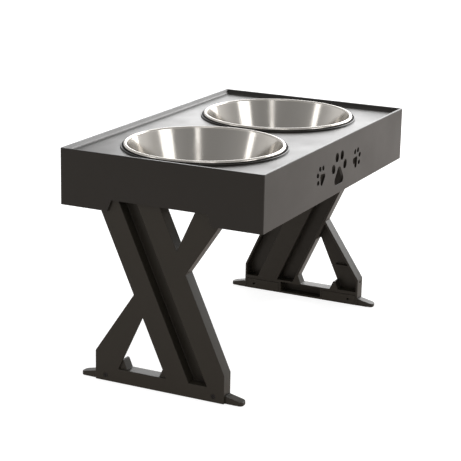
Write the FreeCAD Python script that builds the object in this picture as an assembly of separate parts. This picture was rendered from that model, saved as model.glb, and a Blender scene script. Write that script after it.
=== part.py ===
import FreeCAD, Part
import math
import os

from FreeCAD import Vector

# A raised pet feeder: a tray with two lift-out bowls on two X-shaped plug-in legs.
# Millimetres. X runs along the tray, the front wall faces -Y, and the floor is at Z = 0.

# Whole feeder and tray shell
feeder_height = 288.0
tray_length = 450.0
tray_width = 270.0
tray_height = 70.0
wall = 3.0
deck_thickness = 3.0
lip_height = 5.6
lip_slope = 3.2
corner_radius = 2.5
lip_round = 0.9
overrun = 5.0

# Finger notch in the lower edge of each end wall
notch_depth = 14.2
notch_mouth = 139.0
notch_flare = 5.5

# Bowls: pressed steel sheet with a rolled rim
bowl_end_margin = 17.3
bowl_gap = 15.4
rim_drop = 0.5
roll_radius = 2.4
roll_end_angle = -100.0
sheet = 0.8
bowl_depth = 65.0
bowl_base_inset = 38.0
bowl_corner_radius = 18.0

# Seat of each bowl: a raised collar round a recess that holds a rubber ring
hole_clearance = 0.8
collar_gap = 1.9
collar_width = 1.6
collar_height = 2.0
seat_wall = 2.5
ring_thickness = 1.5
ring_fit = 0.2
bowl_rest_gap = 0.2

# Paw cut-outs in the front wall: a large one between two small tilted ones
paw_height = 40.0
small_paw_share = 0.58
paw_sink = 9.7
small_paw_sink = 1.2
small_paw_offset = 54.0
small_paw_tilt = 48.0
toe_width_share = 0.26
toe_height_share = 0.31
toe_places_shares = ((-0.465, 0.32), (-0.205, 0.65), (0.205, 0.65), (0.465, 0.32))
toe_lean_angles = (22.0, 6.0, -6.0, -22.0)
pad_top_share = 0.42
pad_base_share = -0.24
pad_half_width_share = 0.5
pad_round_share = 0.14

# Legs: X-shaped mouldings with one wide grooved band and one narrow arm each way
leg_width = 176.6
leg_thickness = 18.0
leg_wall = 3.0
leg_rib = 3.0
leg_gap = 0.4
leg_seat_gap = 0.2
bar_height = 18.0
knee_height = 37.5
band_corner_drop = 36.0
band_width = 86.4
groove_width = 24.5
waist_height = 117.0
apex_height = 90.0
arm_width = 32.3
gusset_width = 11.0
gusset_height = 12.0
arm_rib_height = 52.0
arm_rib_depth = 6.0
arm_rib_margin = 9.0
lock_hole_radius = 1.6
lock_hole_drop = 5.0

# Sockets and stiffening ribs moulded under the deck
rib = 2.5
socket_depth = 46.0
guide_width = 42.3
stop_rib_depth = 8.2
stop_places_shares = (0.3, 0.75)
deck_rib_depth = 12.0

# Feet: blocks inside the lower corners of a leg, with tips that stand out of it
foot_length = 54.3
foot_cover = 3.5
foot_fit = 0.15
tip_reach = 22.7
tip_height = 9.5
tip_end_height = 4.5
tip_inset = 1.5
tip_round = 5.0

# Rubber pads let into the feet
pad_recess = 1.5
pad_stand = 1.0
pad_margin = 2.2
pad_corner_share = 0.335

# Foot screws, driven from the outside of the leg
screw_inset = 14.3
screw_radius = 1.5
screw_length = 12.0
head_radius = 2.8
head_height = 1.6
head_sink = 0.3
screw_fit = 0.05
slot_width = 0.8
slot_depth = 0.9

# Levels and places that follow from the sizes above
skirt_bottom = feeder_height - tray_height
deck_top = feeder_height - lip_height
deck_under = deck_top - deck_thickness
inner_length = tray_length / 2 - wall
inner_width = tray_width / 2 - wall
wall_middle = (skirt_bottom + deck_under) / 2
notch_top = notch_mouth - 2 * notch_flare
rim_radius = (tray_length / 2 - bowl_end_margin - bowl_gap / 2) / 2
bowl_spacing = 2 * rim_radius + bowl_gap
bowl_base_radius = rim_radius - bowl_base_inset
rim_top = feeder_height - rim_drop
roll_centre_radius = rim_radius - roll_radius
roll_centre_height = rim_top - roll_radius
bowl_bottom = rim_top - bowl_depth
hole_radius = roll_centre_radius - roll_radius + sheet + hole_clearance
collar_inner = rim_radius + collar_gap
collar_outer = collar_inner + collar_width
ring_top = rim_top - 2 * roll_radius - bowl_rest_gap
seat_floor = ring_top - ring_thickness
seat_under = min(seat_floor - seat_wall, deck_under)
leg_face = inner_length - leg_gap
leg_back = leg_face - leg_thickness
leg_top = deck_under - stop_rib_depth - leg_seat_gap
leg_height = leg_top - pad_stand
leg_half = leg_width / 2
band_knee = leg_height - band_corner_drop
band_lean = (leg_half - band_width / 2) / (band_knee / leg_height - 1 / 2)
arm_foot = leg_half - arm_width
guide_start = leg_half - guide_width
socket_bottom = deck_under - socket_depth
foot_height = bar_height - foot_cover
screw_height = foot_height / 2
screw_place = leg_half - screw_inset
foot_start = leg_half - foot_length
foot_end = leg_half - leg_wall - foot_fit
foot_skin = leg_wall + foot_fit
tip_end = leg_half + tip_reach
tip_back = leg_thickness - tip_inset

UP = Vector(0, 0, 1)
ORIGIN = Vector(0, 0, 0)


def block(x_span, y_span, z_span):
    """Box between two values on each axis, given in either order."""
    low = Vector(min(x_span), min(y_span), min(z_span))
    high = Vector(max(x_span), max(y_span), max(z_span))
    size = high - low
    return Part.makeBox(size.x, size.y, size.z, low)


def prism(corners, travel):
    """Solid swept from a closed polygon of corners along a vector."""
    return Part.Face(Part.makePolygon(list(corners) + [corners[0]])).extrude(travel)


def turned(edges, centre):
    """Solid of revolution about an upright axis from a closed run of edges in the XZ plane."""
    face = Part.Face(Part.Wire(edges))
    solid = face.revolve(ORIGIN, UP, 360)
    solid.translate(centre)
    return solid


def upright_edges(solid):
    """Edges of a solid that run straight up."""
    found = []
    for edge in solid.Edges:
        span = edge.BoundBox
        if span.ZLength > span.XLength + span.YLength and len(edge.Vertexes) == 2:
            found.append(edge)
    return found


def level_edges(solid, height):
    """Edges of a solid that lie flat at one height."""
    near = overrun * 1e-6
    return [edge for edge in solid.Edges
            if abs(edge.BoundBox.ZMin - height) < near and abs(edge.BoundBox.ZMax - height) < near]


def line(start, end):
    """Straight edge in the XZ plane between two (radius, height) points."""
    return Part.LineSegment(Vector(start[0], 0, start[1]), Vector(end[0], 0, end[1])).toShape()


def round_point(centre, radius, angle):
    """Point in the XZ plane at an angle in degrees on a circle."""
    turn = math.radians(angle)
    return (centre[0] + radius * math.cos(turn), centre[1] + radius * math.sin(turn))


def arc(centre, radius, start_angle, end_angle):
    """Arc edge in the XZ plane between two angles in degrees."""
    stops = [round_point(centre, radius, angle)
             for angle in (start_angle, (start_angle + end_angle) / 2, end_angle)]
    return Part.Arc(*[Vector(stop[0], 0, stop[1]) for stop in stops]).toShape()


def lip_recess():
    """Room above the deck inside the sloping spill lip, wider at the top."""
    flare = lip_slope * overrun / lip_height
    rims = []
    for growth, level in ((-lip_slope, deck_top), (flare, feeder_height + overrun)):
        x = inner_length + growth
        y = inner_width + growth
        corners = [Vector(-x, -y, level), Vector(x, -y, level), Vector(x, y, level), Vector(-x, y, level)]
        rims.append(Part.makePolygon(corners + corners[:1]))
    return Part.makeLoft(rims, True, True)


def tray_shell():
    """Deck with a spill lip above it and a skirt below it."""
    shell = block((-tray_length / 2, tray_length / 2), (-tray_width / 2, tray_width / 2),
                  (skirt_bottom, feeder_height))
    shell = shell.makeFillet(corner_radius, upright_edges(shell))
    inside_x = (-inner_length, inner_length)
    inside_y = (-inner_width, inner_width)
    shell = shell.cut(block(inside_x, inside_y, (skirt_bottom - overrun, deck_under)))
    shell = shell.cut(lip_recess())
    return shell.makeFillet(min(lip_round, wall / 3), level_edges(shell, feeder_height))


def bowl_centres():
    """Bowl axes at the deck, the left one first."""
    return [Vector(side * bowl_spacing / 2, 0, 0) for side in (-1, 1)]


def seat(centre):
    """Raised collar with a half-round top, round a stepped seat for the rubber ring."""
    crown = collar_width / 2
    crown_height = deck_top + collar_height - crown
    edges = [line((hole_radius, seat_under), (collar_outer, seat_under)),
             line((collar_outer, seat_under), (collar_outer, crown_height)),
             arc((collar_inner + crown, crown_height), crown, 0, 180),
             line((collar_inner, crown_height), (collar_inner, seat_floor)),
             line((collar_inner, seat_floor), (hole_radius, seat_floor)),
             line((hole_radius, seat_floor), (hole_radius, seat_under))]
    return turned(edges, centre)


def seat_hole(centre):
    """Plug that clears the deck inside a collar."""
    base = Vector(centre.x, centre.y, seat_under - overrun)
    return Part.makeCylinder(collar_inner + collar_width / 2, deck_top - base.z + overrun, base)


def socket(end, side):
    """One corner socket for a leg: a guide, a side wall and the ribs that the leg's top stops at."""
    back = leg_back - leg_gap
    edge = leg_half + leg_gap
    tall = (socket_bottom, deck_under)
    guide = block((end * back, end * (back - rib)), (side * guide_start, side * (edge + rib)), tall)
    cheek = block((end * inner_length, end * back), (side * edge, side * (edge + rib)), tall)
    pieces = [guide, cheek]
    for share in stop_places_shares:
        place = guide_start + share * (edge - guide_start)
        pieces.append(block((end * inner_length, end * back), (side * place, side * (place + rib)),
                            (leg_top + leg_seat_gap, deck_under)))
    return pieces


def deck_ribs():
    """Stiffening ribs: one across the middle, and one from each collar to each long wall."""
    tall = (deck_under - deck_rib_depth, deck_under)
    ribs = [block((-rib / 2, rib / 2), (-inner_width, inner_width), tall)]
    for centre in bowl_centres():
        across = (centre.x - rib / 2, centre.x + rib / 2)
        for side in (-1, 1):
            ribs.append(block(across, (side * (hole_radius + rib), side * inner_width), tall))
    return ribs


def end_notch(end):
    """Trapezoid cutter for the finger notch in one end wall."""
    start = end * (inner_length - leg_gap / 2)
    mouth = notch_mouth / 2
    top = notch_top / 2
    flare = (mouth - top) * overrun / notch_depth
    outline = [(mouth + flare, skirt_bottom - overrun), (top, skirt_bottom + notch_depth),
               (-top, skirt_bottom + notch_depth), (-mouth - flare, skirt_bottom - overrun)]
    return prism([Vector(start, y, z) for y, z in outline], Vector(end * (wall + overrun), 0, 0))


def paw_toe(size, share, lean):
    """Oval toe, as a thick plate in the front wall's plane."""
    tall = toe_height_share * size / 2
    wide = toe_width_share * size / 2
    oval = Part.Ellipse(ORIGIN, max(tall, wide), min(tall, wide))
    toe = Part.Face(Part.Wire(oval.toShape())).extrude(Vector(0, 0, wall + 2 * overrun))
    toe.rotate(ORIGIN, UP, lean + (90 if tall > wide else 0))
    toe.translate(Vector(share[0] * size, share[1] * size, 0))
    return toe


def paw(size, centre_x, sink, tilt):
    """Cutter for one paw print: a rounded three-sided pad and four oval toes."""
    depth = Vector(0, 0, wall + 2 * overrun)
    half = pad_half_width_share * size
    corners = [Vector(-half, pad_base_share * size, 0), Vector(half, pad_base_share * size, 0),
               Vector(0, pad_top_share * size, 0)]
    pad = prism(corners, depth)
    pad = pad.makeFillet(pad_round_share * size, upright_edges(pad))
    print_pieces = [pad]
    for share, lean in zip(toe_places_shares, toe_lean_angles):
        print_pieces.append(paw_toe(size, share, lean))
    for piece in print_pieces:
        piece.rotate(ORIGIN, UP, tilt)
        piece.rotate(ORIGIN, Vector(1, 0, 0), 90)
        piece.translate(Vector(centre_x, -inner_width + overrun, wall_middle - sink))
    return print_pieces


def tray():
    """The whole tray moulding."""
    body = tray_shell()
    body = body.cut([seat_hole(centre) for centre in bowl_centres()])
    added = [seat(centre) for centre in bowl_centres()] + deck_ribs()
    for end in (-1, 1):
        for side in (-1, 1):
            added += socket(end, side)
    body = body.fuse(added)
    cutters = [end_notch(end) for end in (-1, 1)]
    cutters += paw(paw_height, 0, paw_sink, 0)
    small = paw_height * small_paw_share
    cutters += paw(small, -small_paw_offset, small_paw_sink, small_paw_tilt)
    cutters += paw(small, small_paw_offset, small_paw_sink, -small_paw_tilt)
    return body.cut(cutters).removeSplitter()


def seat_ring(centre):
    """Flat rubber ring that lies in a seat and carries a bowl's rim."""
    outer = collar_inner - ring_fit
    base = Vector(centre.x, centre.y, seat_floor)
    disc = Part.makeCylinder(outer, ring_thickness, base)
    return disc.cut(Part.makeCylinder(hole_radius, ring_thickness, base))


def tangent_angle(centre, radius, point):
    """Angle in degrees on a circle, below its level, where a line from an upper point touches it."""
    across = point[0] - centre[0]
    rise = point[1] - centre[1]
    reach = math.hypot(across, rise)
    return math.degrees(math.atan2(rise, across) - math.acos(radius / reach))


def bowl(centre):
    """Pressed bowl: flat base, round corner, leaning wall and a rim rolled outwards."""
    turn = (bowl_base_radius, bowl_bottom + bowl_corner_radius)
    roll = (roll_centre_radius, roll_centre_height)
    inner_roll = roll_radius - sheet
    inner_turn = bowl_corner_radius - sheet
    outside = round_point(roll, inner_roll, 180)
    inside = round_point(roll, roll_radius, 180)
    outer_angle = tangent_angle(turn, bowl_corner_radius, outside)
    inner_angle = tangent_angle(turn, inner_turn, inside)
    floor = bowl_bottom + sheet
    edges = [line((0, bowl_bottom), (turn[0], bowl_bottom)),
             arc(turn, bowl_corner_radius, -90, outer_angle),
             line(round_point(turn, bowl_corner_radius, outer_angle), outside),
             arc(roll, inner_roll, 180, roll_end_angle),
             line(round_point(roll, inner_roll, roll_end_angle),
                  round_point(roll, roll_radius, roll_end_angle)),
             arc(roll, roll_radius, roll_end_angle, 180),
             line(inside, round_point(turn, inner_turn, inner_angle)),
             arc(turn, inner_turn, inner_angle, -90),
             line((turn[0], floor), (0, floor)),
             line((0, floor), (0, bowl_bottom))]
    return turned(edges, centre)


def band_line(height, offset):
    """Sideways place, at a height on the leg, of a line along the wide band."""
    return band_lean * height / leg_height - band_lean / 2 + offset


def opposite(points):
    """Points turned half round about the middle of the leg."""
    return [(-y, leg_height - z) for y, z in points]


def leg_prism(points, start, depth):
    """Prism through the leg from a polygon of (sideways, height) points."""
    return prism([Vector(start, y, z) for y, z in points], Vector(depth, 0, 0))


def inset(points, gaps):
    """Polygon drawn in from each edge of a convex, anticlockwise one by that edge's own gap."""
    sides = []
    for (y0, z0), (y1, z1), gap in zip(points, points[1:] + points[:1], gaps):
        span = math.hypot(y1 - y0, z1 - z0)
        across = ((z0 - z1) / span, (y1 - y0) / span)
        sides.append((across[0], across[1], across[0] * y0 + across[1] * z0 + gap))
    drawn = []
    for (a, b, c), (d, e, f) in zip(sides[-1:] + sides[:-1], sides):
        cross = a * e - b * d
        drawn.append(((c * e - b * f) / cross, (a * f - c * d) / cross))
    return drawn


def leg_outline():
    """Outer edge of the leg."""
    half = [(-leg_half, 0), (leg_half, 0), (leg_half, knee_height),
            (band_line(waist_height, band_width / 2), waist_height), (leg_half, band_knee)]
    return half + opposite(half)


def leg_window():
    """Lower three-sided opening, between the wide band, the narrow arm and the bottom bar."""
    edge = band_width / 2
    return [(band_line(bar_height, edge), bar_height), (arm_foot, bar_height),
            (band_line(apex_height, edge), apex_height)]


def leg_groove():
    """Groove down the middle of the wide band."""
    top = leg_height - bar_height
    half = groove_width / 2
    return [(band_line(bar_height, -half), bar_height), (band_line(bar_height, half), bar_height),
            (band_line(top, half), top), (band_line(top, -half), top)]


def leg_pockets():
    """Hollows open to the inside: band strips, narrow arms, bars and the room for the feet."""
    top = leg_height - bar_height
    edge = band_width / 2
    shared = leg_rib / 2
    outline = leg_outline()
    strip = [(band_line(bar_height, groove_width / 2), bar_height), (band_line(bar_height, edge), bar_height),
             outline[4], (leg_half, top), (band_line(top, groove_width / 2), top)]
    arm = [(band_line(apex_height, edge), apex_height), (arm_foot, bar_height), (leg_half, bar_height),
           outline[2], outline[3]]
    bar = [(leg_wall - foot_start, 0), (foot_start - leg_wall, 0),
           (foot_start - leg_wall, bar_height), (leg_wall - foot_start, bar_height)]
    bar_end = [(foot_start, 0), (leg_half, 0), (leg_half, bar_height), (foot_start, bar_height)]
    strip = inset(strip, (shared, leg_wall, leg_wall, shared, leg_wall))
    arm = inset(arm, (-leg_wall, shared, leg_wall, leg_wall, shared))
    bar = inset(bar, (leg_wall, 0, shared, 0))
    bar_end = inset(bar_end, (leg_wall, leg_wall, shared, 0))
    other_end = [(-y, z) for y, z in bar_end]
    pockets = [strip, opposite(strip), arm, opposite(arm), bar, opposite(bar)]
    return pockets + [opposite(bar_end), opposite(other_end)]


def place_on(start, end, height):
    """Sideways place at a height on the straight line between two (sideways, height) points."""
    return start[0] + (end[0] - start[0]) * (height - start[1]) / (end[1] - start[1])


def leg_webs():
    """Webs behind the skin: gussets in the corners of the windows and a rib across each narrow arm."""
    inner, outer, apex = leg_window()
    base = bar_height - leg_rib / 4
    top = bar_height + gusset_height
    outlines = []
    for corner, side in ((inner, 1), (outer, -1)):
        sink = side * leg_wall
        tip = place_on(corner, apex, top)
        outlines.append([(corner[0] - sink, base), (corner[0] + side * gusset_width, base), (tip, top),
                         (tip - sink, top)])
    knee, waist = leg_outline()[2:4]
    low = arm_rib_height - leg_rib / 2
    high = arm_rib_height + leg_rib / 2
    arm_rib = [(place_on(outer, apex, level) + arm_rib_margin, level) for level in (high, low)]
    arm_rib += [(place_on(knee, waist, level) - leg_wall / 2, level) for level in (low, high)]
    webs = []
    for outline in outlines:
        webs += [leg_prism(points, leg_wall, leg_thickness - leg_wall)
                 for points in (outline, opposite(outline))]
    return webs + [leg_prism(points, leg_wall, arm_rib_depth) for points in (arm_rib, opposite(arm_rib))]


def foot_room(side):
    """Room for one foot: a pocket open below and inside, and a slot for the tip in the end wall."""
    pocket = block((leg_wall, leg_thickness + overrun), (side * foot_start, side * (leg_half - leg_wall)),
                   (-overrun, foot_height + foot_fit))
    slot = block((leg_wall, tip_back + foot_fit), (side * foot_end, side * (leg_half + overrun)),
                 (-overrun, tip_height + foot_fit))
    return [pocket, slot]


def screw_hole(side):
    """Clearance hole and sunk seat for a foot screw in the leg's outer skin."""
    across = Vector(1, 0, 0)
    centre = Vector(-overrun, side * screw_place, screw_height)
    hole = Part.makeCylinder(screw_radius + screw_fit, overrun + leg_wall + overrun, centre, across)
    seat_depth = overrun + head_sink + head_height
    return [hole, Part.makeCylinder(head_radius + foot_fit, seat_depth, centre, across)]


def lock_holes():
    """Small holes through both end walls of the narrow arm, one low and one high."""
    height = knee_height - lock_hole_drop
    holes = []
    for side, level in ((1, height), (-1, leg_height - height)):
        start = Vector(leg_thickness / 2, side * (leg_half + overrun), level)
        holes.append(Part.makeCylinder(lock_hole_radius, leg_wall + 2 * overrun, start, Vector(0, -side, 0)))
    return holes


def leg():
    """One leg moulding, with its outer face at X = 0 and its lower edge at Z = 0."""
    body = leg_prism(leg_outline(), 0, leg_thickness)
    through = leg_thickness + 2 * overrun
    cutters = [leg_prism(leg_window(), -overrun, through),
               leg_prism(opposite(leg_window()), -overrun, through),
               leg_prism(leg_groove(), -overrun, overrun + leg_thickness - leg_wall)]
    for pocket in leg_pockets():
        cutters.append(leg_prism(pocket, leg_wall, leg_thickness - leg_wall + overrun))
    for side in (-1, 1):
        cutters += foot_room(side) + screw_hole(side)
    return body.cut(cutters + lock_holes()).fuse(leg_webs()).removeSplitter()


def pad_shape(height, base):
    """Rounded bar in the foot's underside, from a base level up."""
    low_y = foot_start + foot_fit + pad_margin
    high_y = tip_end - tip_round - pad_margin
    bar = block((foot_skin + pad_margin, tip_back - pad_margin), (low_y, high_y), (base, base + height))
    return bar.makeFillet(pad_corner_share * bar.BoundBox.XLength, upright_edges(bar))


def foot():
    """Foot at the +Y end of a leg, in the leg's own place."""
    body = block((foot_skin, leg_thickness), (foot_start + foot_fit, foot_end), (0, foot_height))
    profile = [(foot_end, 0), (tip_end, 0), (tip_end, tip_end_height), (leg_half, tip_height),
               (foot_end, tip_height)]
    tip = leg_prism(profile, foot_skin, tip_back - foot_skin)
    nose = [edge for edge in upright_edges(tip) if edge.BoundBox.YMin > leg_half]
    body = body.fuse(tip.makeFillet(tip_round, nose))
    hole = Part.makeCylinder(screw_radius + screw_fit, leg_thickness, Vector(0, screw_place, screw_height),
                             Vector(1, 0, 0))
    return body.cut([pad_shape(pad_recess + overrun, -overrun), hole]).removeSplitter()


def foot_pad():
    """Rubber pad in its recess, standing a little below the foot."""
    return pad_shape(pad_recess + pad_stand, -pad_stand)


def foot_screw():
    """Pan-headed screw with a cross slot, pointing into the foot."""
    across = Vector(1, 0, 0)
    head = Part.makeCylinder(head_radius, head_height, Vector(head_sink, screw_place, screw_height), across)
    shank = Part.makeCylinder(screw_radius, screw_length + head_height,
                              Vector(head_sink, screw_place, screw_height), across)
    reach = head_radius / 2
    depth = (head_sink - overrun, head_sink + slot_depth)
    slots = []
    for wide, tall in ((reach, slot_width / 2), (slot_width / 2, reach)):
        slots.append(block(depth, (screw_place - wide, screw_place + wide),
                           (screw_height - tall, screw_height + tall)))
    return head.fuse(shank).cut(slots).removeSplitter()


def set_in_place(piece, end):
    """Copy of a leg's piece at the left end of the feeder, or turned half round to the right end."""
    placed = piece.copy()
    placed.translate(Vector(-leg_face, 0, pad_stand))
    if end == "right":
        placed.rotate(ORIGIN, UP, 180)
    return placed


def mirrored(piece):
    """Copy of a foot's piece at the other end of its leg."""
    return piece.mirror(ORIGIN, Vector(0, 1, 0))


def build():
    """Every node of the feeder by name."""
    nodes = {"tray": tray()}
    for end, centre in zip(("left", "right"), bowl_centres()):
        nodes[end + "_bowl"] = bowl(centre)
        nodes[end + "_seat_ring"] = seat_ring(centre)
        nodes[end + "_leg"] = set_in_place(leg(), end)
        facing = {"left": ("rear", "front"), "right": ("front", "rear")}[end]
        for name, piece in (("foot", foot()), ("pad", foot_pad())):
            nodes["_".join((end, facing[0], name))] = set_in_place(piece, end)
            nodes["_".join((end, facing[1], name))] = set_in_place(mirrored(piece), end)
        screws = [foot_screw(), mirrored(foot_screw())]
        nodes[end + "_foot_screws"] = Part.makeCompound([set_in_place(screw, end) for screw in screws])
    return nodes


os.makedirs("parts", exist_ok=True)
for node_name, node_shape in build().items():
    node_shape.exportStep("parts/" + node_name + ".step")
    print(node_name, len(node_shape.Solids), node_shape.isValid(), round(node_shape.Volume))
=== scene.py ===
import math

import bpy
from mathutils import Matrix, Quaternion, Vector


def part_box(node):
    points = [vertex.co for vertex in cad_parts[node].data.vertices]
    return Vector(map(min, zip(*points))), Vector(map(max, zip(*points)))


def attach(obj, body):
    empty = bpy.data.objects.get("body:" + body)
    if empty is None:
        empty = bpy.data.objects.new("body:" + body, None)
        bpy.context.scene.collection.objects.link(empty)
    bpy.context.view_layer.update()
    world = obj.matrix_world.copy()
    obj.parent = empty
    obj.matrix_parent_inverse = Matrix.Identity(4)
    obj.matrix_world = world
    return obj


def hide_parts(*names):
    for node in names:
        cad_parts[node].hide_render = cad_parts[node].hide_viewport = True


# A raised pet feeder: a black tray with two steel bowls on two X-shaped legs.
# Metres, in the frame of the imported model: X along the tray, the front wall towards -Y, the floor at Z = 0.
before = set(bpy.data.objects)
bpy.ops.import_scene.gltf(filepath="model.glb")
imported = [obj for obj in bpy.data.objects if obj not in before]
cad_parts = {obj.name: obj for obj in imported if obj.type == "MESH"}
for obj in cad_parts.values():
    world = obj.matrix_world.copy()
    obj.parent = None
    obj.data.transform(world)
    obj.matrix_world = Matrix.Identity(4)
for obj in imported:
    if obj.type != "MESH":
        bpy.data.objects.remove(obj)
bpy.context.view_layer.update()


# Legs: two X-shaped mouldings of black ABS, the right one turned half round. The wide band has a deep
# groove outside, the pockets are open inside, and the mould leaves every edge a little round.
# Each leg plugs up into sockets under the tray.
weld = 1e-6
sliver = 2e-5
flat_angle = math.radians(0.6)
sharp_angle = math.radians(38)
leg_edge = 0.0007
edge_steps = 3


def select_only(piece):
    """Leaves one object selected and active."""
    bpy.ops.object.select_all(action="DESELECT")
    bpy.context.view_layer.objects.active = piece
    piece.select_set(True)


def finish_modifier(piece, kind, **settings):
    """Adds a modifier to a piece and applies it."""
    select_only(piece)
    modifier = piece.modifiers.new(kind.lower(), kind)
    for setting, value in settings.items():
        setattr(modifier, setting, value)
    bpy.ops.object.modifier_apply(modifier=modifier.name)


def smooth(piece, angle=sharp_angle):
    """Smooth shading that keeps sharp edges sharp and flat faces flat."""
    select_only(piece)
    bpy.ops.object.shade_smooth_by_angle(angle=angle)
    finish_modifier(piece, "WEIGHTED_NORMAL", keep_sharp=True)


def whole_faces(node, name):
    """Copy of a moulded node, with its triangles merged into whole faces."""
    piece = bpy.data.objects.new(name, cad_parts[node].data.copy())
    bpy.context.scene.collection.objects.link(piece)
    select_only(piece)
    bpy.ops.mesh.customdata_custom_splitnormals_clear()
    bpy.ops.object.mode_set(mode="EDIT")
    bpy.ops.mesh.select_all(action="SELECT")
    bpy.ops.mesh.remove_doubles(threshold=weld)
    bpy.ops.mesh.dissolve_degenerate(threshold=sliver)
    bpy.ops.mesh.select_all(action="SELECT")
    bpy.ops.mesh.dissolve_limited(angle_limit=flat_angle)
    bpy.ops.object.mode_set(mode="OBJECT")
    return piece


def soft_edged(piece, edge, angle=sharp_angle):
    """Rounds every edge of a piece a little that is sharper than an angle."""
    finish_modifier(piece, "BEVEL", width=edge, segments=edge_steps, limit_method="ANGLE", angle_limit=angle,
                    use_clamp_overlap=False, loop_slide=False)
    finish_modifier(piece, "WELD", merge_threshold=weld)
    smooth(piece, angle)


def linear(code):
    """Linear colour with alpha from an sRGB hex value."""
    shares = [int(code[start:start + 2], 16) / 255 for start in (1, 3, 5)]
    return [s / 12.92 if s <= 0.04045 else ((s + 0.055) / 1.055) ** 2.4 for s in shares] + [1.0]


def add_node(tree, kind, inputs, **settings):
    """Adds a shader node; each input is a value or another node's output."""
    node = tree.nodes.new(kind)
    for setting, value in settings.items():
        setattr(node, setting, value)
    for socket, value in inputs.items():
        if isinstance(value, bpy.types.NodeSocket):
            tree.links.new(value, node.inputs[socket])
        else:
            node.inputs[socket].default_value = value
    return node


def new_material(name):
    """Empty node material and its node tree."""
    material = bpy.data.materials.new(name)
    material.use_nodes = True
    material.node_tree.nodes.clear()
    return material, material.node_tree


def dress(piece, material, slot, body, *nodes):
    """Gives a finished piece its material and its body, and hides the nodes that it stands for. The slot is
    not used.
    """
    piece.data.materials.clear()
    piece.data.materials.append(material)
    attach(piece, body)
    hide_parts(*nodes)


def noise(tree, place, size, detail):
    """Noise whose patches are about the given size in metres."""
    inputs = {"Vector": place, "Scale": 1 / size, "Detail": detail}
    return add_node(tree, "ShaderNodeTexNoise", inputs).outputs["Fac"]


def mixed(tree, share, first, second):
    """Colour between two sRGB hex values, by a share from 0 to 1."""
    inputs = {"Factor": share, "A": linear(first), "B": linear(second)}
    return add_node(tree, "ShaderNodeMix", inputs, data_type="RGBA").outputs["Result"]


def patchy(tree, share, low, high):
    """Value that follows a noise from low to high."""
    inputs = {"Value": share, "From Min": noise_low, "From Max": noise_high, "To Min": low, "To Max": high}
    return add_node(tree, "ShaderNodeMapRange", inputs).outputs["Result"]


def bumped(tree, height, strength, depth):
    """Normal of a surface whose height pattern has the given depth in metres."""
    inputs = {"Height": height, "Strength": strength, "Distance": depth}
    return add_node(tree, "ShaderNodeBump", inputs).outputs["Normal"]


def surfaced(tree, inputs):
    """Ends a material with a principled surface."""
    surface = add_node(tree, "ShaderNodeBsdfPrincipled", inputs)
    add_node(tree, "ShaderNodeOutputMaterial", {"Surface": surface.outputs["BSDF"]})


def moulded_abs(name, dark, light, roughness, grain, relief):
    """Black ABS from a spark-eroded mould: a fine even grain that breaks up the gloss, and faint cloudy
    changes of tone and gloss where the melt flowed."""
    material, tree = new_material(name)
    place = add_node(tree, "ShaderNodeTexCoord", {}).outputs["Object"]
    cloud = noise(tree, place, flow_size, 4.0)
    pits = noise(tree, place, grain, 2.0)
    surfaced(tree, {"Base Color": mixed(tree, cloud, dark, light),
                    "Roughness": patchy(tree, cloud, roughness - flow_gloss, roughness + flow_gloss),
                    "IOR": 1.5, "Specular IOR Level": 0.3,
                    "Normal": bumped(tree, pits, grain_strength, relief)})
    return material


noise_low = 0.3
noise_high = 0.7
flow_size = 0.05
flow_gloss = 0.04
grain_strength = 0.35
leg_roughness = 0.38
leg_grain = 0.0008
leg_relief = 0.000015
leg_abs = moulded_abs("matt_moulded_abs", "#27231c", "#2e2a23", leg_roughness, leg_grain, leg_relief)

for end in ("left", "right"):
    leg = whole_faces(end + "_leg", end + "_leg_moulding")
    soft_edged(leg, leg_edge)
    dress(leg, leg_abs, "leg_plastic", end + "_leg", end + "_leg")


# Feet: moulded blocks of the same ABS, let into the lower corners of each leg, with a tapered tip
# that stands out in front of and behind it to stop the feeder rocking.
foot_edge = 0.0006

for end in ("left", "right"):
    for row in ("front", "rear"):
        node = end + "_" + row + "_foot"
        foot = whole_faces(node, node + "_moulding")
        soft_edged(foot, foot_edge)
        dress(foot, leg_abs, "leg_plastic", end + "_leg", node)


# Foot screws: pan-headed steel screws with a punched cross recess, blackened with oxide. Each sits in a
# sunk seat in the leg's outer skin and is driven through it into a foot.
head_radius = 0.0028
head_height = 0.0016
head_round = 0.0006
shank_radius = 0.0015
shank_length = 0.012
point_length = 0.002
recess_width = 0.0008
recess_depth = 0.0009
point_share = 0.3
round_steps = 5
screw_sides = 32


def select_faces(piece, wanted):
    """Enters edit mode with only the faces selected that the test accepts."""
    select_only(piece)
    bpy.ops.object.mode_set(mode="EDIT")
    bpy.ops.mesh.select_mode(type="FACE")
    bpy.ops.mesh.select_all(action="DESELECT")
    bpy.ops.object.mode_set(mode="OBJECT")
    for face in piece.data.polygons:
        face.select = wanted(face)
    bpy.ops.object.mode_set(mode="EDIT")


def select_edges(piece, wanted):
    """Enters edit mode with only the edges selected whose two ends the test accepts."""
    select_only(piece)
    bpy.ops.object.mode_set(mode="EDIT")
    bpy.ops.mesh.select_mode(type="EDGE")
    bpy.ops.mesh.select_all(action="DESELECT")
    bpy.ops.object.mode_set(mode="OBJECT")
    points = piece.data.vertices
    for edge in piece.data.edges:
        a, b = (points[i].co for i in edge.vertices)
        edge.select = wanted(a, b)
    bpy.ops.object.mode_set(mode="EDIT")


def set_in_mesh(piece):
    """Moves a piece's place and turn into its mesh."""
    select_only(piece)
    bpy.ops.object.transform_apply()


def copy_of(piece, name):
    """Copy of a piece with a mesh of its own."""
    twin = bpy.data.objects.new(name, piece.data.copy())
    bpy.context.scene.collection.objects.link(twin)
    return twin


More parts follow.
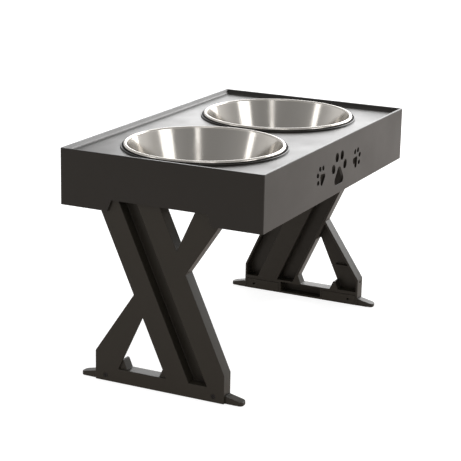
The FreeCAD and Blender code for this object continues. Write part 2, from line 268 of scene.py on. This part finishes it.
def pan_screw(name):
    """One screw that points down, with the top of its head at the origin."""
    bpy.ops.object.select_all(action="DESELECT")
    bpy.ops.mesh.primitive_cylinder_add(vertices=screw_sides, radius=head_radius, depth=head_height,
                                        location=(0, 0, -head_height / 2))
    screw = bpy.context.object
    screw.name = name
    set_in_mesh(screw)
    select_edges(screw, lambda a, b: min(a.z, b.z) > -weld)
    bpy.ops.mesh.bevel(offset=head_round, segments=round_steps)
    bpy.ops.object.mode_set(mode="OBJECT")
    select_faces(screw, lambda face: face.normal.z < -0.9)
    bpy.ops.mesh.inset(thickness=head_radius - shank_radius)
    bpy.ops.mesh.extrude_region_move(TRANSFORM_OT_translate={"value": (0, 0, point_length - shank_length)})
    bpy.ops.mesh.extrude_region_move(TRANSFORM_OT_translate={"value": (0, 0, -point_length)})
    bpy.ops.transform.resize(value=(point_share, point_share, 1))
    bpy.ops.object.mode_set(mode="OBJECT")
    for across, along in ((head_radius, recess_width), (recess_width, head_radius)):
        bpy.ops.object.select_all(action="DESELECT")
        bpy.ops.mesh.primitive_cube_add(size=1, scale=(across, along, 2 * recess_depth))
        punch = bpy.context.object
        set_in_mesh(punch)
        finish_modifier(screw, "BOOLEAN", operation="DIFFERENCE", object=punch, solver="EXACT")
        bpy.data.objects.remove(punch)
    smooth(screw)
    return screw


def oxide_steel(name, dark, worn, speck):
    """Steel blackened in a hot oxide bath: a soft black gloss, with greyer specks where oil has dried."""
    material, tree = new_material(name)
    place = add_node(tree, "ShaderNodeTexCoord", {}).outputs["Object"]
    patch = noise(tree, place, speck, 3.0)
    gloss = add_node(tree, "ShaderNodeMapRange", {"Value": patch, "To Min": 0.28, "To Max": 0.48})
    surfaced(tree, {"Base Color": mixed(tree, patch, dark, worn), "Roughness": gloss.outputs["Result"],
                    "Metallic": 0.6})
    return material


oil_speck = 0.0006
screw_steel = oxide_steel("black_oxide_steel", "#1b1a1a", "#333131", oil_speck)

for end, turn in (("left", -1), ("right", 1)):
    low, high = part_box(end + "_foot_screws")
    pair = pan_screw(end + "_pan_screws")
    face = low.x if end == "left" else high.x
    pair.location = (face, low.y + head_radius, (low.z + high.z) / 2)
    pair.rotation_euler = (0, turn * math.pi / 2, 0)
    set_in_mesh(pair)
    second = copy_of(pair, "second_screw")
    second.location.y = high.y - low.y - 2 * head_radius
    set_in_mesh(second)
    select_only(pair)
    second.select_set(True)
    bpy.ops.object.join()
    dress(pair, screw_steel, "blackened_screw_steel", end + "_leg", end + "_foot_screws")


# Foot pads: black rubber strips pressed into a recess under each foot, with round ends and soft edges.
pad_corner = 0.003
pad_edge = 0.0004
pad_steps = 6


def rubber(name, colour, worn, speck, relief):
    """Moulded black rubber: deep black, nearly without shine, greyed in specks by bloom and dust."""
    material, tree = new_material(name)
    place = add_node(tree, "ShaderNodeTexCoord", {}).outputs["Object"]
    dust = noise(tree, place, speck, 5.0)
    surfaced(tree, {"Base Color": mixed(tree, dust, colour, worn), "Roughness": 0.72, "IOR": 1.52,
                    "Specular IOR Level": 0.3, "Normal": bumped(tree, dust, 0.3, relief)})
    return material


dust_speck = 0.0012
dust_relief = 0.00005
black_rubber = rubber("moulded_black_rubber", "#161515", "#262524", dust_speck, dust_relief)


def foot_pad(node, name):
    """Block of the pad's size, with its corners rounded and then its top and bottom edges."""
    low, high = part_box(node)
    bpy.ops.object.select_all(action="DESELECT")
    bpy.ops.mesh.primitive_cube_add(size=1, location=(low + high) / 2, scale=high - low)
    piece = bpy.context.object
    piece.name = name
    set_in_mesh(piece)
    select_edges(piece, lambda a, b: abs(a.z - b.z) > weld)
    bpy.ops.mesh.bevel(offset=pad_corner, segments=pad_steps)
    bpy.ops.object.mode_set(mode="OBJECT")
    select_edges(piece, lambda a, b: abs(a.z - b.z) < weld)
    bpy.ops.mesh.bevel(offset=pad_edge, segments=edge_steps)
    bpy.ops.object.mode_set(mode="OBJECT")
    smooth(piece)
    return piece


for end in ("left", "right"):
    for row in ("front", "rear"):
        node = end + "_" + row + "_pad"
        pad = foot_pad(node, end + "_" + row + "_rubber_pad")
        dress(pad, black_rubber, "black_rubber", end + "_leg", node)


# Tray: one large moulding of black ABS, satin on the outside, with a spill lip all round, a raised collar
# round each bowl, paw prints cut through the front wall and ribs and sockets under the deck.
tray_edge = 0.0003
deck_height = 0.2824
lip_foot_length = 0.213
lip_foot_width = 0.12
lip_fillet = 0.0025
rounded_angle = math.radians(50)
bowl_place = 0.1077
ring_steps = 192
collar_inner = 0.10186
collar_outer = 0.10354
collar_foot = 0.2800
collar_top = 0.28443
collar_round = 0.00083
tray_roughness = 0.32
tray_grain = 0.0006
tray_relief = 0.000007
tray_abs = moulded_abs("satin_moulded_abs", "#1f1c18", "#24211d", tray_roughness, tray_grain, tray_relief)


def at_lip_foot(point):
    """True on the line where the deck turns up into the spill lip."""
    beside = abs(point.x) > lip_foot_length or abs(point.y) > lip_foot_width
    return beside and abs(point.z - deck_height) < sliver


def turned(piece, steps):
    """Spins a profile drawn in the XZ plane once round the left bowl's axis, and closes the seam."""
    select_only(piece)
    bpy.ops.object.mode_set(mode="EDIT")
    bpy.ops.mesh.select_all(action="SELECT")
    bpy.ops.mesh.spin(steps=steps, angle=2 * math.pi, center=(-bowl_place, 0, 0), axis=(0, 0, 1))
    bpy.ops.mesh.select_all(action="SELECT")
    bpy.ops.mesh.remove_doubles(threshold=weld)
    bpy.ops.mesh.normals_make_consistent(inside=False)
    bpy.ops.object.mode_set(mode="OBJECT")


def round_ring(name, inner, outer, low, high, corner):
    """Ring round the left bowl's axis, with its four edges rounded."""
    bpy.ops.object.select_all(action="DESELECT")
    bpy.ops.mesh.primitive_plane_add(size=1)
    ring = bpy.context.object
    ring.name = name
    ring.rotation_euler = (math.pi / 2, 0, 0)
    ring.scale = (outer - inner, high - low, 1)
    ring.location = ((outer + inner) / 2 - bowl_place, 0, (low + high) / 2)
    set_in_mesh(ring)
    bpy.ops.object.mode_set(mode="EDIT")
    bpy.ops.mesh.select_all(action="SELECT")
    bpy.ops.mesh.bevel(offset=corner, segments=pad_steps, affect="VERTICES")
    bpy.ops.mesh.select_all(action="SELECT")
    bpy.ops.mesh.delete(type="ONLY_FACE")
    bpy.ops.object.mode_set(mode="OBJECT")
    turned(ring, ring_steps)
    smooth(ring)
    return ring


def moved_right(piece, name):
    """Copy of the left bowl's piece at the right bowl."""
    twin = copy_of(piece, name)
    twin.location.x = 2 * bowl_place
    set_in_mesh(twin)
    return twin


tray = whole_faces("tray", "tray_moulding")
select_edges(tray, lambda a, b: at_lip_foot(a) and at_lip_foot(b))
bpy.ops.mesh.bevel(offset=lip_fillet, segments=round_steps)
bpy.ops.object.mode_set(mode="OBJECT")
soft_edged(tray, tray_edge, rounded_angle)
collar = round_ring("left_collar", collar_inner, collar_outer, collar_foot, collar_top, collar_round)
second_collar = moved_right(collar, "right_collar")
select_only(tray)
collar.select_set(True)
second_collar.select_set(True)
bpy.ops.object.join()
dress(tray, tray_abs, "tray_plastic", "tray", "tray")


# Seat rings: flat rings of black rubber that lie in the seat inside each collar, under the rolled rim,
# and stop the bowl rattling.
ring_inner = 0.0968
ring_outer = 0.1017
ring_round = 0.0003

low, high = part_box("left_seat_ring")
left_ring = round_ring("left_rubber_ring", ring_inner, ring_outer, low.z, high.z, ring_round)
dress(left_ring, black_rubber, "black_rubber", "tray", "left_seat_ring")
dress(moved_right(left_ring, "right_rubber_ring"), black_rubber, "black_rubber", "tray", "right_seat_ring")


# Bowls: deep-drawn stainless steel, spun and buffed bright, with a round corner at the floor, a sloping wall
# and a rim rolled outwards and under. Each hangs by its rim on the rubber ring and lifts straight out.
sheet = 0.0008
floor_height = 0.2233
corner_centre = Vector((0.062, 0, 0.2405))
corner_radius = 0.0172
corner_turn = math.radians(71.35)
roll_centre = Vector((0.0976, 0, 0.2851))
roll_radius = 0.0024
roll_turn = math.radians(280)
floor_parts = 5
corner_steps = 12
wall_parts = 8
roll_steps = 28
bowl_steps = 192


def run_on(step, count):
    """Draws a straight run on from the profile's last point, in equal parts."""
    for part in range(count):
        bpy.ops.mesh.extrude_vertices_move(TRANSFORM_OT_translate={"value": step / count})


def steel_bowl(name):
    """Left bowl: its inner face is drawn from the middle of the floor to the end of the roll, spun and
    thickened outwards."""
    axis = Vector((-bowl_place, 0, 0))
    bpy.ops.object.select_all(action="DESELECT")
    bpy.ops.mesh.primitive_plane_add(size=sheet, location=axis + Vector((0, 0, floor_height)))
    bowl = bpy.context.object
    bowl.name = name
    set_in_mesh(bowl)
    bpy.ops.object.mode_set(mode="EDIT")
    bpy.ops.mesh.select_mode(type="VERT")
    bpy.ops.mesh.select_all(action="SELECT")
    bpy.ops.mesh.merge(type="CENTER")
    run_on(Vector((corner_centre.x, 0, 0)), floor_parts)
    bpy.ops.mesh.spin(steps=corner_steps, angle=corner_turn, center=axis + corner_centre, axis=(0, 1, 0))
    wall_foot = corner_centre + corner_radius * Vector((math.sin(corner_turn), 0, -math.cos(corner_turn)))
    run_on(roll_centre - Vector((roll_radius, 0, 0)) - wall_foot, wall_parts)
    bpy.ops.mesh.spin(steps=roll_steps, angle=-roll_turn, center=axis + roll_centre, axis=(0, 1, 0))
    bpy.ops.object.mode_set(mode="OBJECT")
    turned(bowl, bowl_steps)
    lowest = min(bowl.data.polygons, key=lambda face: face.center.z)
    if lowest.normal.z < 0:
        bpy.ops.object.mode_set(mode="EDIT")
        bpy.ops.mesh.select_all(action="SELECT")
        bpy.ops.mesh.flip_normals()
        bpy.ops.object.mode_set(mode="OBJECT")
    finish_modifier(bowl, "SOLIDIFY", thickness=sheet, offset=-1)
    smooth(bowl)
    return bowl


def buffed_steel(name, bright, dull, roughness, line, relief, cloud_size):
    """Stainless steel buffed on a lathe: clear reflections, drawn out a little by fine rings round the axis.
    The rings are a tenth of a millimetre apart, and are drawn coarser here so that they show."""
    material, tree = new_material(name)
    place = add_node(tree, "ShaderNodeTexCoord", {}).outputs["Object"]
    parts = add_node(tree, "ShaderNodeSeparateXYZ", {"Vector": place}).outputs
    beside = add_node(tree, "ShaderNodeMath", {0: parts["X"]}, operation="ABSOLUTE").outputs[0]
    offset = add_node(tree, "ShaderNodeMath", {0: beside, 1: bowl_place}, operation="SUBTRACT").outputs[0]
    flat = add_node(tree, "ShaderNodeCombineXYZ", {"X": offset, "Y": parts["Y"]}).outputs[0]
    radius = add_node(tree, "ShaderNodeVectorMath", {0: flat}, operation="LENGTH").outputs["Value"]
    along = add_node(tree, "ShaderNodeMath", {0: radius, 1: parts["Z"]}, operation="ADD").outputs[0]
    rings = add_node(tree, "ShaderNodeTexNoise", {"W": along, "Scale": 1 / line, "Detail": 3.0},
                     noise_dimensions="1D").outputs["Fac"]
    cloud = noise(tree, place, cloud_size, 3.0)
    surfaced(tree, {"Base Color": mixed(tree, cloud, bright, dull), "Metallic": 1.0,
                    "Roughness": patchy(tree, cloud, roughness - 0.03, roughness + 0.04),
                    "Normal": bumped(tree, rings, 0.12, relief)})
    return material


steel_roughness = 0.16
lathe_line = 0.0009
lathe_relief = 0.00003
buff_size = 0.03
bowl_steel = buffed_steel("buffed_stainless_steel", "#c6c2bc", "#b9b4ad", steel_roughness, lathe_line,
                          lathe_relief, buff_size)
left_bowl = steel_bowl("left_steel_bowl")
dress(left_bowl, bowl_steel, "stainless_steel", "left_bowl", "left_bowl")
right_bowl = moved_right(left_bowl, "right_steel_bowl")
dress(right_bowl, bowl_steel, "stainless_steel", "right_bowl", "right_bowl")


# Stage: a large white floor that keeps a light shadow, lit by a pale studio that is white at the horizon.
# Wide softboxes behind make the deck and the lip shine, and narrow ones draw bright strips in the bowls.
floor_size = 14.0
floor_glow = 0.85
floor_mirrored = 0.52


def white_floor(name, colour, glow, mirrored_tint, mirrored):
    """Matt white paper that is seen as white, and a little dimmer and warmer in reflections."""
    material, tree = new_material(name)
    path = add_node(tree, "ShaderNodeLightPath", {}).outputs
    shown = add_node(tree, "ShaderNodeMath", {0: path["Is Camera Ray"], 1: glow}, operation="MULTIPLY")
    echoed = add_node(tree, "ShaderNodeMath", {0: path["Is Glossy Ray"], 1: mirrored}, operation="MULTIPLY")
    surface = add_node(tree, "ShaderNodeBsdfDiffuse", {"Color": linear(colour)}).outputs[0]
    for tint, strength in (("#ffffff", shown), (mirrored_tint, echoed)):
        light = add_node(tree, "ShaderNodeEmission", {"Color": linear(tint), "Strength": strength.outputs[0]})
        surface = add_node(tree, "ShaderNodeAddShader", {0: surface, 1: light.outputs[0]}).outputs[0]
    add_node(tree, "ShaderNodeOutputMaterial", {"Surface": surface})
    return material


bpy.ops.object.select_all(action="DESELECT")
bpy.ops.mesh.primitive_plane_add(size=floor_size)
floor = bpy.context.object
floor.name = "floor"
floor.data.materials.append(white_floor("white_paper", "#a8a8a8", floor_glow, "#ffeddf", floor_mirrored))


bright_side = Vector((0.85, 0.35, 0.4))
dim = 0.24
bright = 0.8
band_low = 0.15
band_high = 0.3


def studio_air(name):
    """Soft light from all round: white at the horizon, and above it grey that brightens towards one side."""
    world = bpy.data.worlds.new(name)
    world.use_nodes = True
    tree = world.node_tree
    tree.nodes.clear()
    way = add_node(tree, "ShaderNodeTexCoord", {}).outputs["Generated"]
    height = add_node(tree, "ShaderNodeSeparateXYZ", {"Vector": way}).outputs["Z"]
    side = add_node(tree, "ShaderNodeVectorMath", {0: way, 1: bright_side.normalized()},
                    operation="DOT_PRODUCT")
    upper = add_node(tree, "ShaderNodeMapRange",
                     {"Value": side.outputs["Value"], "From Min": -1.0, "To Min": dim, "To Max": bright})
    fade = {"Value": height, "From Min": band_low, "From Max": band_high, "To Min": 1.0, "To Max": 0.0}
    band = add_node(tree, "ShaderNodeMapRange", fade, interpolation_type="SMOOTHSTEP").outputs["Result"]
    level = add_node(tree, "ShaderNodeMix", {"Factor": band, "A": upper.outputs["Result"], "B": 1.0})
    light = add_node(tree, "ShaderNodeBackground",
                     {"Color": linear("#ffffff"), "Strength": level.outputs["Result"]})
    add_node(tree, "ShaderNodeOutputWorld", {"Surface": light.outputs[0]})
    return world


bpy.context.scene.world = studio_air("studio")


lamp_target = Vector((0, 0, 0.25))


def softbox(name, azimuth, elevation, distance, width, height, radiance):
    """Rectangular lamp that faces the feeder: angles in degrees, the azimuth from +X, sizes in metres.
    Its power follows from how bright its face is."""
    turn, rise = math.radians(azimuth), math.radians(elevation)
    way = Vector((math.cos(turn) * math.cos(rise), math.sin(turn) * math.cos(rise), math.sin(rise)))
    lamp = bpy.data.lights.new(name, "AREA")
    lamp.shape = "RECTANGLE"
    lamp.size = width
    lamp.size_y = height
    lamp.energy = radiance * math.pi * width * height
    holder = bpy.data.objects.new(name, lamp)
    bpy.context.scene.collection.objects.link(holder)
    holder.location = lamp_target + way * distance
    holder.rotation_euler = (-way).to_track_quat("-Z", "Y").to_euler()
    holder.visible_camera = False


softbox("back_softbox", 1, 18, 2.8, 3.35, 1.5, 3.1)
softbox("front_softbox", -90, 17, 2.2, 0.8, 0.9, 2.3)
softbox("top_softbox", 206, 54, 2.0, 0.8, 0.7, 2.2)
softbox("right_softbox", -22, 30, 2.6, 1.6, 1.0, 6.5)
softbox("left_softbox", 129, 24, 2.2, 0.35, 0.9, 2.4)
softbox("near_softbox", 217, 25, 2.4, 0.25, 0.7, 1.8)

# Camera at the photograph's place.
eye = Vector((-1.7766, -0.8474, 0.7048))
aim = Vector((0.0, 0.0149, 0.1471))
roll = math.radians(1.2)
focal_length = 122.08
sensor_width = 36.0
camera = bpy.data.objects.new("camera", bpy.data.cameras.new("camera"))
bpy.context.scene.collection.objects.link(camera)
camera.location = eye
camera.rotation_mode = "QUATERNION"
camera.rotation_quaternion = (aim - eye).to_track_quat("-Z", "Y") @ Quaternion((0, 0, 1), roll)
camera.data.lens = focal_length
camera.data.sensor_width = sensor_width
bpy.context.scene.camera = camera
bpy.context.scene.view_settings.view_transform = "Standard"
